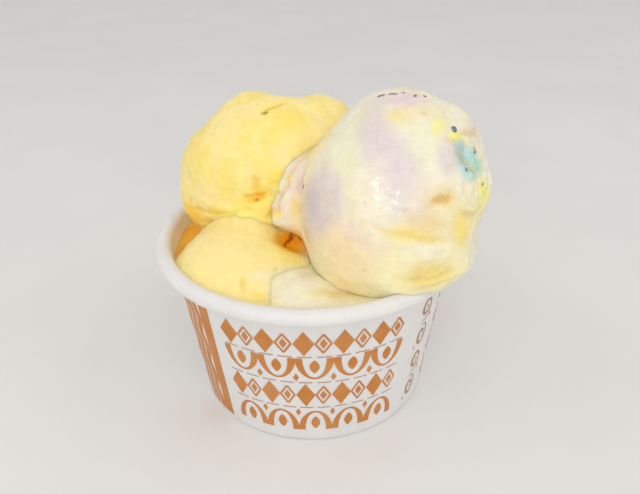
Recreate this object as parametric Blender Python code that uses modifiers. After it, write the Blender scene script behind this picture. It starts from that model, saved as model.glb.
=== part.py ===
"""A paper cup heaped with gelato of two flavours, two scoops of each.

Blender 4.5. Sizes are in metres and +Z is up. The cup stands on z = 0, and the origin is the middle of the
bottom of the whole object's box, so the cup's own axis lies at x = AXIS_X. The front faces -Y. Places below
are measured from the cup's axis, and angles round it are in degrees from +X, turning towards +Y, so the
front is at -90 and the back is at 90.
"""
import math

import bmesh
import bpy
from mathutils import Matrix, Vector, noise

MM = 0.001
AXIS_X = -1.2 * MM  # the scoop that leans over the lip makes the object longer on the right

# The paper cup
RIM_RADIUS = 43.5 * MM  # to the outside of the rolled lip
FOOT_RADIUS = 32.7 * MM  # to the outside of the wall, at the foot
CUP_HEIGHT = 49.0 * MM
PAPER = 0.45 * MM
LIP_RADIUS = 2.2 * MM  # outside radius of the roll at the top of the wall
LIP_END = -120.0  # where the roll's edge stops, in degrees round the roll
HEM_HEIGHT = 5.4 * MM  # the wall's edge is folded in and up by this much at the foot
FOOT_FLAT = 0.5 * MM  # width of the flat ring that the fold stands on
DISC_LEVEL = 6.4 * MM  # middle of the bottom disc's thickness
DISC_BEND = 1.0 * MM
SKIRT_END = 1.5 * MM  # lower edge of the disc's skirt, inside the fold
GAP = 0.3 * MM  # between pieces that touch
ROUND_STEPS = 48
LIP_STEPS = 10
HEM_STEPS = 2
BEND_STEPS = 3

# How high the lower gelato stands at the wall: angle round the cup, height
EDGE_LEVELS = (
    (-150.0, 46.2 * MM),
    (-90.0, 47.4 * MM),
    (-45.0, 46.8 * MM),
    (-10.0, 44.0 * MM),
    (40.0, 41.0 * MM),
    (110.0, 40.0 * MM),
    (155.0, 44.6 * MM),
    (185.0, 42.8 * MM),
)
EDGE_STEEPNESS = 4.0
BLEND = 2.5 * MM  # how softly a dome runs into the gelato round it
BOUNDARY_FRONT = -9.8 * MM  # the flavours meet at this X by the front wall
BOUNDARY_MIDDLE = -0.5 * MM  # and at this X where they have turned inwards
BOUNDARY_BACK = 6.0 * MM
BOUNDARY_TURN = (-28.0 * MM, -20.0 * MM)  # the Y between which they turn
FIELD_REACH = 48.0 * MM
FIELD_COLUMNS = 14
FIELD_ROWS = 28
FIELD_CRAG = 0.5 * MM
FIELD_CRAG_SIZE = 9.0 * MM

# The surface that the two flavours of the lower gelato share. A dome is a ball's top (X, Y, Z, radius) and a
# pit is a hollow (X, Y, reach, depth).
LOW_LEVEL = 45.0 * MM
DOMES = (
    (-16.0 * MM, -11.5 * MM, 31.0 * MM, 25.0 * MM),
    (-2.0 * MM, -28.0 * MM, 36.0 * MM, 13.0 * MM),
)
PITS = (
    (-5.0 * MM, -13.0 * MM, 4.5 * MM, 6.0 * MM),
    (24.0 * MM, 22.0 * MM, 13.0 * MM, 4.5 * MM),
)

# The two scoops on top. A lobe is a swelling, or a dent where its height is negative: its direction from
# the scoop's centre as angle round and angle up, its reach in degrees, and its height. A skirt is the torn
# ridge that the scoop's edge leaves low on its side: its angle up, reach in degrees, height, and the angles
# round that it runs between.
YELLOW_SCOOP = {
    "centre": Vector((-9.7, 12.0, 61.8)) * MM,
    "radii": Vector((26.5, 22.0, 21.9)) * MM,
    "crag": 0.5 * MM,
    "crag_size": 8.0 * MM,
    "lobes": (
        (-166.0, -8.0, 16.0, 1.4 * MM),
        (172.0, 38.0, 14.0, -1.2 * MM),
        (148.0, 63.0, 13.0, 1.3 * MM),
        (58.0, 70.0, 13.0, -2.6 * MM),
        (16.0, 42.0, 20.0, 2.6 * MM),
        (-95.0, -8.0, 14.0, 1.0 * MM),
        (-62.0, -2.0, 9.0, -2.2 * MM),
        (-158.0, -23.0, 11.0, 2.7 * MM),
    ),
    "skirt": (-10.0, 7.0, 1.0 * MM, -175.0, -55.0),
}
PASTEL_SCOOP = {
    "centre": Vector((21.0, -12.5, 63.0)) * MM,
    "radii": Vector((24.1, 25.5, 29.0)) * MM,
    "crag": 0.35 * MM,
    "crag_size": 9.0 * MM,
    "lobes": (
        (-153.0, -47.0, 16.0, 1.9 * MM),
        (2.0, 47.0, 18.0, 2.2 * MM),
        (-19.0, -13.0, 17.0, -1.9 * MM),
        (160.0, 50.0, 26.0, -2.6 * MM),
        (-90.0, -66.0, 14.0, -1.6 * MM),
        (-178.0, 0.0, 14.0, -1.2 * MM),
        (158.0, 13.0, 10.0, 6.5 * MM),
        (163.0, -14.0, 11.0, 9.5 * MM),
        (177.0, -9.0, 9.5, 7.0 * MM),
        (175.0, 4.0, 8.0, 5.0 * MM),
        (172.0, 15.0, 8.0, 2.5 * MM),
        (-12.0, 12.0, 13.0, 1.4 * MM),
    ),
    "skirt": (-28.0, 7.0, 1.6 * MM, -100.0, 50.0),
}
SCOOP_CUTS = 14  # how finely each side of the cube is cut that a scoop is blown up from

# Sprinkles pressed into the pastel scoop: angle round and angle up as for a lobe, length, width, and the
# angle that the length is turned to, from level
SPRINKLES = (
    (-36.7, 54.7, 2.3 * MM, 1.8 * MM, 20.0),
    (-27.1, 40.4, 1.9 * MM, 0.9 * MM, 80.0),
    (-44.1, 34.1, 1.5 * MM, 1.0 * MM, 60.0),
    (-28.3, 21.6, 1.5 * MM, 0.9 * MM, 30.0),
    (-150.0, 82.6, 2.6 * MM, 0.8 * MM, 60.0),
    (-112.0, 85.6, 2.4 * MM, 0.9 * MM, 20.0),
    (-44.0, 85.2, 1.3 * MM, 0.8 * MM, 110.0),
    (-30.0, 79.8, 1.9 * MM, 0.9 * MM, 10.0),
    (-16.1, 76.0, 1.4 * MM, 0.8 * MM, 90.0),
)
SPRINKLE_SUNK = 0.25  # how much of its width is below the gelato's surface, past its middle

COLOURS = {
    "paper": (0.84, 0.82, 0.83),
    "yellow": (0.95, 0.79, 0.34),
    "pastel": (0.88, 0.82, 0.70),
}


def clear_scene():
    for thing in list(bpy.data.objects):
        bpy.data.objects.remove(thing)


def collection(name, hidden=False):
    made = bpy.data.collections.new(name)
    made.hide_render = hidden
    bpy.context.scene.collection.children.link(made)
    return made


def material(name, colour, roughness):
    made = bpy.data.materials.new(name)
    made.use_nodes = True
    shader = made.node_tree.nodes["Principled BSDF"]
    shader.inputs["Base Color"].default_value = (*colour, 1.0)
    shader.inputs["Roughness"].default_value = roughness
    shader.inputs["Metallic"].default_value = 0.0
    return made


def new_object(name, bm, where, finish=None, location=(0.0, 0.0, 0.0)):
    """An object with this mesh, placed from the cup's axis."""
    mesh = bpy.data.meshes.new(name)
    bm.to_mesh(mesh)
    bm.free()
    if finish:
        mesh.materials.append(finish)
    mesh.shade_smooth()
    made = bpy.data.objects.new(name, mesh)
    made.location = location
    made.parent = bpy.data.objects["cup_axis"]
    where.objects.link(made)
    return made


def arc(centre, radius, first, last, steps):
    """Points (r, z) on an arc between two angles in degrees."""
    angles = (math.radians(first + (last - first) * i / steps) for i in range(steps + 1))
    return [(centre[0] + radius * math.cos(a), centre[1] + radius * math.sin(a)) for a in angles]


def lip_centre():
    return (RIM_RADIUS - LIP_RADIUS, CUP_HEIGHT - LIP_RADIUS)


def wall_lean():
    """Angle of the wall from upright, where it runs from the foot to touch the lip's roll."""
    across = lip_centre()[0] - (FOOT_RADIUS - PAPER / 2)
    up = lip_centre()[1]
    roll = LIP_RADIUS - PAPER / 2
    return math.atan2(across, up) - math.asin(roll / math.hypot(across, up))


def wall_radius(z):
    """Radius of the middle of the wall's paper at height z."""
    return FOOT_RADIUS - PAPER / 2 + z * math.tan(wall_lean())


def wall_path():
    """Middle of the paper in section, from the lip's edge over the roll, down the wall and round the hem."""
    lean = math.degrees(wall_lean())
    roll = arc(lip_centre(), LIP_RADIUS - PAPER / 2, LIP_END, 180.0 - lean, LIP_STEPS)
    corner = GAP + PAPER - FOOT_FLAT / 2
    hem_z = corner + PAPER / 2
    hem_r = wall_radius(hem_z) - corner / math.cos(wall_lean())
    fold = arc((hem_r, hem_z), corner, -lean, -90.0, HEM_STEPS)
    fold += arc((hem_r - FOOT_FLAT, hem_z), corner, -90.0, -180.0 - lean, HEM_STEPS)
    rise = HEM_HEIGHT - fold[-1][1]
    edge = (fold[-1][0] + rise * math.tan(wall_lean()), HEM_HEIGHT)
    return roll + fold + [edge]


def disc_path():
    """Middle of the bottom disc's paper in section, from its centre to the lower edge of its skirt."""
    lean = wall_lean()
    inset = (PAPER + GAP) / math.cos(lean)
    bend_r = wall_radius(DISC_LEVEL - DISC_BEND) - inset - DISC_BEND
    bend = arc((bend_r, DISC_LEVEL - DISC_BEND), DISC_BEND, 90.0, -math.degrees(lean), BEND_STEPS)
    edge = (wall_radius(SKIRT_END) - inset, SKIRT_END)
    return [(0.0, DISC_LEVEL)] + bend + [edge]


def turned(name, path, where, finish=None, shell=True):
    """The path, as (r, z) points, turned round Z. A shell gets the paper's thickness."""
    bm = bmesh.new()
    points = [bm.verts.new((r, 0.0, z)) for r, z in path]
    for first, second in zip(points, points[1:]):
        bm.edges.new((first, second))
    made = new_object(name, bm, where, finish)
    turn = made.modifiers.new("turn", "SCREW")
    turn.axis = "Z"
    turn.angle = math.tau
    turn.steps = turn.render_steps = ROUND_STEPS
    turn.use_merge_vertices = True
    turn.merge_threshold = 0.00001
    if shell:
        thick = made.modifiers.new("paper", "SOLIDIFY")
        thick.thickness = PAPER
        thick.offset = 0.0
        thick.use_even_offset = True
    return made


def boolean(target, tool, operation):
    step = target.modifiers.new(f"{operation.lower()} {tool.name}", "BOOLEAN")
    step.operation = operation
    step.object = tool
    step.solver = "EXACT"


def cutter(made):
    made.hide_render = True
    made.display_type = "WIRE"
    return made


def inner_space(where):
    """A closed solid of the cup's inside and the room straight above it."""
    clear = (PAPER / 2 + GAP) / math.cos(wall_lean())
    floor = DISC_LEVEL + PAPER / 2 + GAP
    above = 2.0 * CUP_HEIGHT
    path = [
        (0.0, above),
        (wall_radius(CUP_HEIGHT) - clear, above),
        (wall_radius(CUP_HEIGHT) - clear, CUP_HEIGHT),
        (wall_radius(floor) - clear, floor),
        (0.0, floor),
    ]
    return cutter(turned("inside_of_cup", path, where, shell=False))


def cup_collar(where):
    """A closed ring of the wall and lip, a gap wider all round, with everything outside them below the lip."""
    clear = (PAPER / 2 + GAP) / math.cos(wall_lean())
    far = RIM_RADIUS + 30.0 * MM
    below = -5.0 * MM
    over_lip = arc(lip_centre(), LIP_RADIUS + GAP, 180.0 - math.degrees(wall_lean()), -20.0, LIP_STEPS)
    inner_foot = (wall_radius(below) - clear, below)
    path = [*over_lip, (far, over_lip[-1][1]), (far, below), inner_foot, over_lip[0]]
    return cutter(turned("cup_collar", path, where, shell=False))


def direction(around, up):
    a, e = math.radians(around), math.radians(up)
    return Vector((math.cos(a) * math.cos(e), math.sin(a) * math.cos(e), math.sin(e)))


def skirt_rise(skirt, d):
    """How far the skirt stands out in the direction d. It wanders up and down and dies away at its ends."""
    up, reach, height, first, last = skirt
    around = math.degrees(math.atan2(d.y, d.x))
    along = ((around - (first + last) / 2.0 + 180.0) % 360.0 - 180.0) / ((last - first) / 2.0)
    wander = 3.0 * math.sin(math.radians(5.0 * around))
    above = (math.degrees(math.asin(d.z)) - up - wander) / reach
    return height * max(1.0 - along**2, 0.0) * math.exp(-(above**2))


def scoop_radius(scoop, d):
    """How far the scoop's surface lies from its centre in the direction d."""
    radii = scoop["radii"]
    radius = 1.0 / math.sqrt(sum((d[i] / radii[i]) ** 2 for i in range(3)))
    for around, up, reach, height in scoop["lobes"]:
        angle = math.degrees(d.angle(direction(around, up)))
        radius += height * math.exp(-((angle / reach) ** 2))
    radius += skirt_rise(scoop["skirt"], d)
    place = (scoop["centre"] + d * radius) / scoop["crag_size"]
    return radius + scoop["crag"] * noise.fractal(place, 0.9, 2.0, 3)


def scoop_solid(name, scoop, where, finish=None, grow=0.0):
    """A finely cut cube blown up to the scoop's shape, and grown all round where it is a cutter."""
    bm = bmesh.new()
    bmesh.ops.create_cube(bm, size=2.0)
    bmesh.ops.subdivide_edges(bm, edges=bm.edges, cuts=SCOOP_CUTS, use_grid_fill=True)
    # The same diagonals in the scoop and in the cutter that makes room for it keep the gap even
    bmesh.ops.triangulate(bm, faces=bm.faces, quad_method="FIXED")
    for v in bm.verts:
        d = Vector([math.tan(part * math.pi / 4.0) for part in v.co]).normalized()
        v.co = d * (scoop_radius(scoop, d) + grow)
    return new_object(name, bm, where, finish, scoop["centre"])


def sprinkle_solids(scoop, where):
    """The sprinkles as small closed balls, drawn out along their length, half sunk into the scoop."""
    bm = bmesh.new()
    for around, up, length, width, turn in SPRINKLES:
        d = direction(around, up)
        place = Matrix.Translation(d * (scoop_radius(scoop, d) - SPRINKLE_SUNK * width))
        facing = d.to_track_quat("Z", "Y").to_matrix().to_4x4() @ Matrix.Rotation(math.radians(turn), 4, "Z")
        size = Matrix.Diagonal((length / 2.0, width / 2.0, width / 2.0, 1.0))
        bmesh.ops.create_icosphere(bm, subdivisions=2, radius=1.0, matrix=place @ facing @ size)
    return new_object("sprinkles", bm, where, location=scoop["centre"])


def edge_level(angle):
    """Height of the lower gelato at the wall, eased between the stated angles."""
    stated = [*EDGE_LEVELS, (EDGE_LEVELS[0][0] + 360.0, EDGE_LEVELS[0][1])]
    angle = (angle - stated[0][0]) % 360.0 + stated[0][0]
    for (first, low), (second, high) in zip(stated, stated[1:]):
        if first <= angle <= second:
            share = (angle - first) / (second - first)
            return low + (high - low) * (1.0 - math.cos(math.pi * share)) / 2.0
    return stated[0][1]


def smooth_max(a, b):
    return max(a, b) + max(BLEND - abs(a - b), 0.0) ** 2 / (4.0 * BLEND)


def field_height(x, y):
    """Height of the lower gelato's surface over a point of the cup."""
    out = min(math.hypot(x, y) / wall_radius(CUP_HEIGHT), 1.0)
    edge = edge_level(math.degrees(math.atan2(y, x)))
    height = edge + (LOW_LEVEL - edge) * (1.0 - out**EDGE_STEEPNESS)
    for dome_x, dome_y, dome_z, radius in DOMES:
        above = radius**2 - (x - dome_x) ** 2 - (y - dome_y) ** 2
        if above > 0.0:
            height = smooth_max(height, dome_z + math.sqrt(above))
    for pit_x, pit_y, reach, depth in PITS:
        height -= depth * math.exp(-((x - pit_x) ** 2 + (y - pit_y) ** 2) / reach**2)
    unevenness = noise.fractal(Vector((x, y, 0.0)) / FIELD_CRAG_SIZE, 0.9, 2.0, 3)
    return height + FIELD_CRAG * unevenness * (1.0 - out**2)


def boundary(y):
    """X where the two flavours of the lower gelato meet."""
    first, last = BOUNDARY_TURN
    turned_in = min(max((y - first) / (last - first), 0.0), 1.0)
    x = BOUNDARY_FRONT + (BOUNDARY_MIDDLE - BOUNDARY_FRONT) * turned_in**2 * (3.0 - 2.0 * turned_in)
    beyond = max((y - last) / (FIELD_REACH - last), 0.0)
    return x + (BOUNDARY_BACK - BOUNDARY_MIDDLE) * beyond


def field_block(name, side, where, finish):
    """A block under the lower gelato's surface, from the boundary out towards +X or -X, as side says."""
    bm = bmesh.new()
    bmesh.ops.create_grid(bm, x_segments=FIELD_COLUMNS, y_segments=FIELD_ROWS, size=1.0)
    for v in bm.verts:
        y = v.co.y * FIELD_REACH
        inner = boundary(y) + side * GAP / 2.0
        share = (1.0 + side * v.co.x) / 2.0
        x = inner + (side * FIELD_REACH - inner) * share
        v.co = (x, y, field_height(x, y))
    below = bmesh.ops.extrude_face_region(bm, geom=list(bm.faces))
    for v in (g for g in below["geom"] if isinstance(g, bmesh.types.BMVert)):
        v.co.z = 0.0
    bmesh.ops.recalc_face_normals(bm, faces=bm.faces)
    return new_object(name, bm, where, finish)


def build_cup(where):
    paper = material("paper", COLOURS["paper"], 0.55)
    turned("cup_wall", wall_path(), where, paper)
    turned("cup_base", disc_path(), where, paper)


def build_gelato(where, cutters):
    yellow = material("yellow_gelato", COLOURS["yellow"], 0.45)
    pastel = material("pastel_gelato", COLOURS["pastel"], 0.35)
    collar = cup_collar(cutters)
    inside = inner_space(cutters)
    pastel_hollow = cutter(scoop_solid("pastel_scoop_hollow", PASTEL_SCOOP, cutters, grow=GAP))
    yellow_hollow = cutter(scoop_solid("yellow_scoop_hollow", YELLOW_SCOOP, cutters, grow=GAP))

    top_pastel = scoop_solid("pastel_scoop", PASTEL_SCOOP, where, pastel)
    boolean(top_pastel, collar, "DIFFERENCE")
    boolean(top_pastel, cutter(sprinkle_solids(PASTEL_SCOOP, cutters)), "UNION")
    top_yellow = scoop_solid("yellow_scoop", YELLOW_SCOOP, where, yellow)
    boolean(top_yellow, collar, "DIFFERENCE")
    boolean(top_yellow, pastel_hollow, "DIFFERENCE")

    low_yellow = field_block("yellow_base", -1.0, where, yellow)
    low_pastel = field_block("pastel_base", 1.0, where, pastel)
    for low in (low_yellow, low_pastel):
        boolean(low, inside, "INTERSECT")
        boolean(low, pastel_hollow, "DIFFERENCE")
        boolean(low, yellow_hollow, "DIFFERENCE")


def main():
    clear_scene()
    gelato_cup = collection("gelato_cup")
    cutters = collection("cutters", hidden=True)
    axis = bpy.data.objects.new("cup_axis", None)
    axis.location.x = AXIS_X
    gelato_cup.objects.link(axis)
    build_cup(gelato_cup)
    build_gelato(gelato_cup, cutters)


main()
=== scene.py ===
"""Looks for the gelato cup: fine gelato, a printed paper cup, sprinkles, soft light and the photo's camera.

Sizes are in metres, in the row frame. Places and angles of the cup and the gelato are measured from the
cup's own axis, which lies at x = AXIS_X. Angles are in degrees from +X towards +Y, so the front is at -90.
"""
import random
from math import asin, atan2, ceil, cos, degrees, exp, hypot, pi, radians, sin, sqrt, tan, tau

import bmesh
import bpy
import numpy as np
from mathutils import Euler, Matrix, Vector, noise


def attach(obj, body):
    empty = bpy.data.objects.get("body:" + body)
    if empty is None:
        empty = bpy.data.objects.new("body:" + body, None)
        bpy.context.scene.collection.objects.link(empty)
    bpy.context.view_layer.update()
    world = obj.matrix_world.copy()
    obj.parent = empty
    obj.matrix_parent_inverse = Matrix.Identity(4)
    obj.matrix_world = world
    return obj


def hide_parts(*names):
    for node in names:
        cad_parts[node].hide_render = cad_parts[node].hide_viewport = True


MM = 0.001
AXIS_X = -1.2 * MM
AXIS = (AXIS_X, 0.0, 0.0)

# The paper cup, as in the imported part
RIM_RADIUS = 43.5 * MM
FOOT_RADIUS = 32.7 * MM
CUP_HEIGHT = 49.0 * MM
PAPER = 0.45 * MM
LIP_RADIUS = 2.2 * MM
LIP_END = -120.0
HEM_HEIGHT = 5.4 * MM
FOOT_FLAT = 0.5 * MM
DISC_LEVEL = 6.4 * MM
DISC_BEND = 1.0 * MM
SKIRT_END = 1.5 * MM
HEM_GAP = 0.3 * MM
ROUND_STEPS = 288
SEAM_AT = 97.0  # the glued overlap of the wall's paper, at the back
SEAM_WIDE = 7.0  # in degrees
SEAM_STEP = 0.14 * MM
LIP_CENTRE = (RIM_RADIUS - LIP_RADIUS, CUP_HEIGHT - LIP_RADIUS)
WALL_OUT = LIP_CENTRE[0] - (FOOT_RADIUS - PAPER / 2)  # from the wall's foot out to the lip's centre
LEAN = atan2(WALL_OUT, LIP_CENTRE[1]) - asin((LIP_RADIUS - PAPER / 2) / hypot(WALL_OUT, LIP_CENTRE[1]))
WALL_HALF = PAPER / 2 / cos(LEAN)  # half the wall's thickness, measured level
TOUCH = 0.04 * MM  # gelato stays this clear of what it lies against
FLAVOUR_GAP = 0.01 * MM  # and the two lower flavours this clear of each other

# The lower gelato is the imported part's but for its pits. The first pit is 2 mm shallower here, so that light
# reaches its colour, and the last two are too small for the part. These tables are in mm: the height at the
# wall at some angles, each dome's centre and radius, and each pit's place, reach and depth.
EDGE_LEVELS = (
    (-150, 46.2), (-90, 47.4), (-45, 46.8), (-10, 44), (40, 41), (110, 40), (155, 44.6), (185, 42.8),
)
EDGE_STEEPNESS = 4.0
BLEND = 2.5 * MM
BOUNDARY_FRONT = -9.8 * MM
BOUNDARY_MIDDLE = -0.5 * MM
BOUNDARY_BACK = 6.0 * MM
BOUNDARY_TURN = (-28.0 * MM, -20.0 * MM)
FIELD_REACH = 48.0 * MM
COLLAR_PAST = 30.0 * MM  # how far the tool that frees the cup reaches beyond the lip, and below the foot
COLLAR_BELOW = 5.0 * MM
FIELD_COLUMNS = 110
FIELD_ROWS = 220
FIELD_CRAG = 0.5 * MM
FIELD_CRAG_SIZE = 9.0 * MM
LOW_LEVEL = 45.0 * MM
DOMES = ((-16, -11.5, 31, 25), (-2, -28, 36, 13))
PITS = ((-5, -13, 4.5, 4), (24, 22, 13, 4.5), (-16.8, -28.6, 0.9, 0.4), (-8.9, -25.3, 0.6, 0.4))
WALL_UNEVEN = 0.4 * MM
BOUNDARY_RAGGED = (0.5 * MM, 3.0 * MM)  # how far it strays, and the size of one bend
# Finer than the part's solids: relief, and the rise of the surface to the yellow scoop that rests on it
FIELD_GRAIN = 0.13 * MM
FIELD_SMEAR = 0.24 * MM
GRAIN_SIZE = 0.9 * MM
SMEAR_SIZE = 2.4 * MM
SMEAR_STRETCH = 0.45
FILLET_REACH = 5.0 * MM
FILLET_RISE = 2.0 * MM
FILLET_CLEAR = 1.4  # of the first pit's reach, where the surface doesn't rise
MEETING_WIDTH = 2.4 * MM  # how far each flavour's colour bleeds into the other

# The two scoops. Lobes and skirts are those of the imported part: direction (around, up), reach in degrees and
# height in mm. The rest is finer than the part's solids: a groove runs along a line of directions with its
# half width in degrees and its depth in mm, and a rough place is a direction, its reach in degrees and how
# far its crags stand and sink in mm. Smear and grain are the heights of the finest relief.
YELLOW_SCOOP = {
    "centre": np.array(Vector((-9.7, 12.0, 61.8)) * MM),
    "radii": (26.5 * MM, 22.0 * MM, 21.9 * MM),
    "crag": 0.5 * MM,
    "crag_size": 8.0 * MM,
    "lobes": (
        (-166, -8, 16, 1.4), (172, 38, 14, -1.2), (148, 63, 13, 1.3), (58, 70, 13, -2.6),
        (16, 42, 20, 2.6), (-95, -8, 14, 1), (-62, -2, 9, -2.2), (-158, -23, 11, 2.7),
    ),
    "skirt": (-10, 7, 1, -175, -55),
    "grooves": (
        (((-108, 64), (-95, 72), (-66, 77)), 1.3, 0.8), (((-110, 0), (-102, 4), (-93, 6)), 2.6, 1.7),
        (((-102, 4), (-100, 15)), 2, 0.6), (((-92, -10), (-90, -5)), 1.8, 1),
        (((-160, -13), (-135, -15), (-112, -7), (-96, -6)), 3, 0.6),
        (((140, 12), (100, 22), (70, 16)), 2.4, 0.9), (((170, -4), (130, -8), (95, -2)), 2, 0.8),
        (((60, 44), (95, 52), (125, 46)), 1.6, 0.7),
    ),
    "rough": (
        (95, 0, 55, 0.34), (-110, 30, 75, 0.15), (-85, 8, 22, 0.26), (-140, -14, 22, 0.22),
    ),
    "smear": 0.15 * MM,
    "grain": 0.10 * MM,
    "pits": 34,
    "seed": 11,
    "cuts": 104,
}
PASTEL_SCOOP = {
    "centre": np.array(Vector((21.0, -12.5, 63.0)) * MM),
    "radii": (24.1 * MM, 25.5 * MM, 29.0 * MM),
    "crag": 0.35 * MM,
    "crag_size": 9.0 * MM,
    "lobes": (
        (-153, -47, 16, 1.9), (2, 47, 18, 2.2), (-19, -13, 17, -1.9), (160, 50, 26, -2.6),
        (-90, -66, 14, -1.6), (-178, 0, 14, -1.2), (158, 13, 10, 6.5), (163, -14, 11, 9.5),
        (177, -9, 9.5, 7), (175, 4, 8, 5), (172, 15, 8, 2.5), (-12, 12, 13, 1.4),
    ),
    "skirt": (-28, 7, 1.6, -100, 50),
    "grooves": (
        (((-174, 26), (-174, 14), (-170, 0), (-165, -14), (-160, -26)), 2.2, 1.8),
        (((170, 22), (178, 8), (178, -4), (174, -16)), 1.7, 1), (((166, 10), (177, 3)), 1.4, 0.7),
        (((-115, 16), (-96, 9), (-75, 3), (-60, 1)), 2, 0.22),
        (((-74, 22), (-66, 24), (-60, 25)), 2.6, 0.8),
        (((-86, -23), (-73, -21.5), (-58, -19)), 1.8, 0.45),
        (((-82, -29), (-66, -27), (-48, -26)), 1.6, 0.5), (((-56, 14), (-44, 8), (-30, 10)), 2, 0.7),
        (((-47, 44), (-40, 36), (-33, 28)), 2.2, 0.9), (((-30, 52), (-12, 44), (6, 46)), 2.2, 0.8),
        (((20, 20), (55, 30), (90, 22)), 2.4, 1), (((10, -8), (45, -14), (85, -8)), 2.2, 0.9),
        (((110, 60), (60, 66), (20, 60)), 1.8, 0.6),
    ),
    "rough": (
        (-30, 22, 26, 0.55), (-10, -16, 34, 0.45), (50, 6, 60, 0.40), (-40, 82, 16, 0.35),
        (160, 0, 20, 0.55), (-70, -24, 20, 0.35),
    ),
    "smear": 0.08 * MM,
    "grain": 0.04 * MM,
    "pits": 26,
    "seed": 23,
    "cuts": 118,
}

# What is the same in both scoops' fine relief
WANDERS = ((0.035, 3.5 * MM), (0.012, 1.1 * MM))  # how far grooves stray, and the size of the bends
FULL_SHADE_DEPTH = 1.2 * MM  # a groove of this depth takes the whole painted shade colour
TORN_SIZE = 2.6 * MM
TORN_CUT_SIZE = 1.7 * MM
TORN_RANGE = (-1.6, 0.9)
STRETCHED_SIZE = (7.0 * MM, 7.0 * MM, 1.6 * MM)

# Sprinkles pressed into the pastel scoop: direction, length and width in mm, turn from level, colour's name
SPRINKLES = (
    (-36.7, 54.7, 2.3, 1.8, 20, "navy"),
    (-27.1, 40.4, 1.9, 0.9, 80, "olive"),
    (-44.1, 34.1, 1.5, 1, 60, "teal"),
    (-28.3, 21.6, 1.5, 0.9, 30, "olive"),
    (-150, 82.6, 2.6, 0.8, 60, "plum"),
    (-112, 85.6, 2.4, 0.9, 20, "plum"),
    (-44, 85.2, 1.3, 0.8, 110, "plum"),
    (-30, 79.8, 1.9, 0.9, 10, "plum"),
    (-16.1, 76, 1.4, 0.8, 90, "brown"),
    (-164.9, 17.3, 1.5, 0.5, 90, "brown"),
)
SPRINKLE_SUNK = 0.25  # of its width, from the scoop's surface to the sprinkle's middle

# The printed ink
INK_RISE = 0.035 * MM
INK_ROOT = 0.03 * MM
INK_SPAN = 36.0 * MM  # the radius at which the print's widths are true
ROW_LEVELS = (41.25 * MM, 32.1 * MM, 22.95 * MM, 13.4 * MM, 3.9 * MM)
PRINT_REPEAT = 180.0

# The camera that fits the photo's outlines of the lip, the wall and the foot
IMAGE_WIDTH = 640
FOCAL_PIXELS = 712.0
CAMERA_AWAY = 204.2 * MM
CAMERA_PITCH = 29.21
CAMERA_ROLL = -0.894
AIM = Vector((2.47 * MM + AXIS_X, 0.0, 42.6 * MM))

# The picture's own directions, for patches that are placed as the photo shows them
ACROSS = Vector((1.0, 0.0, 0.0))
AWAY = Vector((0.0, cos(radians(CAMERA_PITCH)), -sin(radians(CAMERA_PITCH))))
UPWARD = Vector((0.0, sin(radians(CAMERA_PITCH)), cos(radians(CAMERA_PITCH))))


def linear(*screen):
    """A screen colour, each part from 0 to 255, as the linear colour that a shader takes."""
    shares = [part / 255.0 for part in screen]
    return (*(s / 12.92 if s <= 0.04045 else ((s + 0.055) / 1.055) ** 2.4 for s in shares), 1.0)


# Screen colours
COLOURS = {
    "cream": (236, 228, 190), "white": (240, 233, 211), "pale cream": (246, 241, 207),
    "green cream": (232, 232, 198), "lilac": (215, 198, 202), "deep lilac": (199, 184, 190),
    "rose": (226, 203, 210), "pale lilac": (220, 208, 208), "pink": (236, 214, 208),
    "peach": (245, 222, 175), "pale peach": (255, 233, 186), "honey": (238, 206, 140),
    "lemon": (243, 219, 122), "bright lemon": (248, 242, 110), "soft lemon": (241, 229, 172),
    "pale lemon": (248, 239, 189), "aqua": (174, 218, 216), "deep aqua": (158, 190, 188),
    "green": (170, 212, 186), "tan": (226, 188, 108), "soft tan": (236, 212, 150),
    "yellow": (252, 226, 130), "pale yellow": (254, 230, 156), "light yellow": (255, 243, 148),
    "deep yellow": (251, 222, 92), "amber": (255, 196, 62), "orange": (255, 182, 26),
    "brown": (150, 72, 4), "olive": (222, 192, 72), "bark": (112, 96, 22),
}
SPRINKLE_COLOURS = {
    "navy": (46, 84, 128),
    "teal": (96, 128, 118),
    "olive": (120, 124, 92),
    "plum": (98, 76, 96),
    "brown": (96, 62, 44),
}
WANDER_SEED = 7

# Without a seed, Blender's vector noise starts from the clock and differs from run to run.
noise.seed_set(WANDER_SEED)


def unit(around, up):
    """The direction at an angle round from +X and an angle up, as an array."""
    a, e = radians(around), radians(up)
    return np.array((cos(a) * cos(e), sin(a) * cos(e), sin(e)))


def directions(rows):
    """Each row made 1 long."""
    return rows / np.linalg.norm(rows, axis=1)[:, None]


def mound(d, around, up, reach):
    """1 in one direction, falling off smoothly towards 0 beyond the reach in degrees."""
    angle = np.degrees(np.arccos(np.clip(d @ unit(around, up), -1.0, 1.0)))
    return np.exp(-((angle / reach) ** 2))


def fractal(points, octaves=3):
    return np.array([noise.fractal(Vector(p), 0.9, 2.0, octaves) for p in points])


def wander(points):
    """A small smooth move for each point."""
    return np.array([noise.noise_vector(Vector(p)) for p in points])


def from_line(d, stops):
    """For each direction, its angle from a line through the stops, and how far along the line it lies."""
    nearest = np.full(len(d), 180.0)
    along = np.zeros(len(d))
    spans = len(stops) - 1
    for i, (first, last) in enumerate(zip(stops, stops[1:])):
        a, b = unit(*first), unit(*last)
        share = np.clip((d - a) @ (b - a) / np.dot(b - a, b - a), 0.0, 1.0)
        closest = directions(a + share[:, None] * (b - a))
        angle = np.degrees(np.arccos(np.clip((d * closest).sum(1), -1.0, 1.0)))
        better = angle < nearest
        nearest[better] = angle[better]
        along[better] = (i + share[better]) / spans
    return nearest, along


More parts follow.
